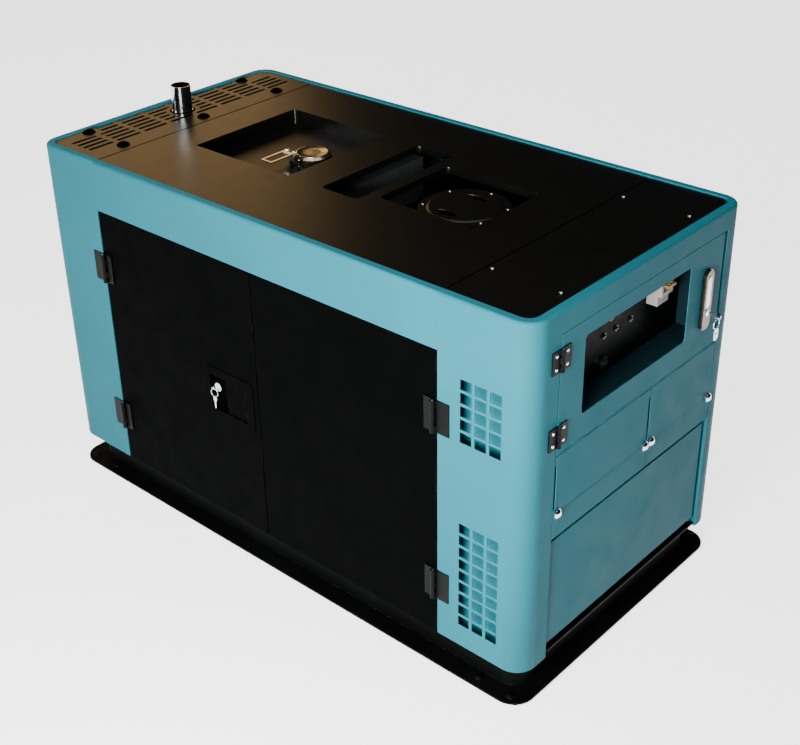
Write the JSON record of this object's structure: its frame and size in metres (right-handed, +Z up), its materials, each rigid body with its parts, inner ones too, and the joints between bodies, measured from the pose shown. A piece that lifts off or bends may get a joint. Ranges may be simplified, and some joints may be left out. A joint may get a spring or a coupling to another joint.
{
  "type": "portable silenced generator",
  "caption": "Silenced portable generator: steel canopy on a skid, side doors, control end with windowed door and flaps, slotted deck and exhaust pipe.",
  "frame": {"origin": "centre of the footprint on the floor", "axes": "+X towards the control end, +Y towards the back doors, +Z up"},
  "size_m": [1.2894, 0.657, 0.825],
  "materials": {
    "teal_paint": "satin",
    "black_paint": "satin",
    "deck_black": "gloss",
    "dark_hinge": "satin",
    "bright_metal": "polished",
    "plated_steel": "satin",
    "engine_grey": "matte",
    "pad_rubber": "matte",
    "panel_black": "matte",
    "pale_plastic": "gloss",
    "lever_amber": "gloss",
    "lamp_lens": "gloss"
  },
  "bodies": {
    "canopy_and_base": {"skid_base": "black_paint", "foot_pads": "pad_rubber", "flange_bolts": "black_paint", "engine_mounts": "pad_rubber", "left_end_frame": "teal_paint", "right_end_frame": "teal_paint", "front_top_rail": "teal_paint", "back_top_rail": "teal_paint", "left_end_panel": "teal_paint", "lower_end_panel": "teal_paint", "vent_baffles": "teal_paint", "grille_panel": "deck_black", "grille_cap_screws": "deck_black", "center_deck": "deck_black", "right_deck": "deck_black", "deck_screws": "bright_metal", "air_cleaner": "engine_grey", "air_cleaner_cover": "deck_black", "fuel_tank": "engine_grey", "muffler": "engine_grey", "exhaust_pipe": "bright_metal", "engine_block": "engine_grey", "alternator_housing": "engine_grey", "battery": "panel_black", "control_box": "teal_paint", "control_plate": "panel_black", "breaker": "pale_plastic", "indicator_lamps": "lamp_lens", "terminal_board": "panel_black", "hinge_frame_leaves": "dark_hinge", "hinge_pins": "plated_steel"},
    "front_left_door_set": {"front_left_door": "black_paint", "front_left_door_leaves": "dark_hinge", "front_lock_dish": "black_paint"},
    "front_right_door_set": {"front_right_door": "black_paint", "front_right_door_leaves": "dark_hinge"},
    "back_left_door_set": {"back_left_door": "black_paint", "back_left_door_leaves": "dark_hinge", "back_lock_dish": "black_paint"},
    "back_right_door_set": {"back_right_door": "black_paint", "back_right_door_leaves": "dark_hinge"},
    "front_paddle": {"front_lock_paddle": "black_paint"},
    "back_paddle": {"back_lock_paddle": "black_paint"},
    "front_lock_core": {"front_lock_cylinder": "bright_metal", "front_lock_keys": "bright_metal"},
    "control_door_set": {"control_door": "teal_paint", "control_door_leaves": "dark_hinge"},
    "control_handle": {"control_door_handle": "bright_metal", "control_door_keys": "bright_metal"},
    "left_flap_set": {"left_flap": "teal_paint"},
    "right_flap_set": {"right_flap": "teal_paint"},
    "thumb_screw_a": {"thumb_screw_1": "bright_metal"},
    "thumb_screw_b": {"thumb_screw_2": "bright_metal"},
    "thumb_screw_c": {"thumb_screw_3": "bright_metal"},
    "thumb_screw_d": {"thumb_screw_4": "bright_metal"},
    "fuel_cap_piece": {"fuel_cap": "bright_metal"},
    "hasp_piece": {"fuel_cap_hasp": "bright_metal"},
    "lever_piece": {"breaker_lever": "lever_amber"},
    "key_switch_piece": {"key_switch": "bright_metal"},
    "rotor": {"crankshaft": "plated_steel"}
  },
  "joints": [
    {"name": "front_left_door_hinge", "type": "hinge", "parent": "canopy_and_base", "child": "front_left_door_set", "pos_m": [-0.46125, -0.3235, 0.377], "axis": [0, 0, -1], "range_deg": [0, 110]},
    {"name": "front_right_door_hinge", "type": "hinge", "parent": "canopy_and_base", "child": "front_right_door_set", "pos_m": [0.41475, -0.3235, 0.377], "axis": [0, 0, 1], "range_deg": [0, 110]},
    {"name": "back_left_door_hinge", "type": "hinge", "parent": "canopy_and_base", "child": "back_left_door_set", "pos_m": [-0.46125, 0.3235, 0.377], "axis": [0, 0, 1], "range_deg": [0, 110]},
    {"name": "back_right_door_hinge", "type": "hinge", "parent": "canopy_and_base", "child": "back_right_door_set", "pos_m": [0.41475, 0.3235, 0.377], "axis": [0, 0, -1], "range_deg": [0, 110]},
    {"name": "front_paddle_pull", "type": "hinge", "parent": "front_left_door_set", "child": "front_paddle", "pos_m": [-0.06225, -0.313, 0.367], "axis": [0, 0, 1], "range_deg": [0, 35], "stiffness_Nm_per_rad": 0.3},
    {"name": "back_paddle_pull", "type": "hinge", "parent": "back_left_door_set", "child": "back_paddle", "pos_m": [-0.06225, 0.313, 0.367], "axis": [0, 0, -1], "range_deg": [0, 35], "stiffness_Nm_per_rad": 0.3},
    {"name": "front_lock_turn", "type": "hinge", "parent": "front_left_door_set", "child": "front_lock_core", "pos_m": [-0.14225, -0.318, 0.379], "axis": [0, -1, 0], "range_deg": [0, 90]},
    {"name": "control_door_hinge", "type": "hinge", "parent": "canopy_and_base", "child": "control_door_set", "pos_m": [0.61315, -0.243, 0.618], "axis": [0, 0, -1], "range_deg": [0, 110]},
    {"name": "control_handle_turn", "type": "hinge", "parent": "control_door_set", "child": "control_handle", "pos_m": [0.60875, 0.201, 0.655], "axis": [-1, 0, 0], "range_deg": [0, 90]},
    {"name": "left_flap_hinge", "type": "hinge", "parent": "canopy_and_base", "child": "left_flap_set", "pos_m": [0.60655, -0.099, 0.5045], "axis": [0, -1, 0], "range_deg": [0, 88]},
    {"name": "right_flap_hinge", "type": "hinge", "parent": "canopy_and_base", "child": "right_flap_set", "pos_m": [0.60655, 0.153, 0.5045], "axis": [0, -1, 0], "range_deg": [0, 88]},
    {"name": "thumb_screw_a_turn", "type": "hinge", "parent": "left_flap_set", "child": "thumb_screw_a", "pos_m": [0.60875, -0.233, 0.3865], "axis": [1, 0, 0], "range_deg": [0, 90]},
    {"name": "thumb_screw_b_turn", "type": "hinge", "parent": "left_flap_set", "child": "thumb_screw_b", "pos_m": [0.60875, 0.0335, 0.3865], "axis": [1, 0, 0], "range_deg": [0, 90]},
    {"name": "thumb_screw_c_turn", "type": "hinge", "parent": "right_flap_set", "child": "thumb_screw_c", "pos_m": [0.60875, 0.0545, 0.3865], "axis": [1, 0, 0], "range_deg": [0, 90]},
    {"name": "thumb_screw_d_turn", "type": "hinge", "parent": "right_flap_set", "child": "thumb_screw_d", "pos_m": [0.60875, 0.253, 0.3865], "axis": [1, 0, 0], "range_deg": [0, 90]},
    {"name": "fuel_cap_turn", "type": "hinge", "parent": "canopy_and_base", "child": "fuel_cap_piece", "pos_m": [-0.16725, -0.002, 0.749], "axis": [0, 0, 1], "range_deg": [0, 90]},
    {"name": "hasp_hinge", "type": "hinge", "parent": "canopy_and_base", "child": "hasp_piece", "pos_m": [-0.22375, -0.004, 0.757], "axis": [-1, 0, 0], "range_deg": [0, 100]},
    {"name": "breaker_toggle", "type": "hinge", "parent": "canopy_and_base", "child": "lever_piece", "pos_m": [0.57875, 0.11, 0.673], "axis": [0, 1, 0], "range_deg": [-30, 30]},
    {"name": "key_switch_turn", "type": "hinge", "parent": "canopy_and_base", "child": "key_switch_piece", "pos_m": [0.55475, -0.039, 0.572], "axis": [1, 0, 0], "range_deg": [0, 90]},
    {"name": "rotor_spin", "type": "hinge", "parent": "canopy_and_base", "child": "rotor", "pos_m": [-0.01625, 0, 0.307], "axis": [1, 0, 0], "continuous": true}
  ]
}
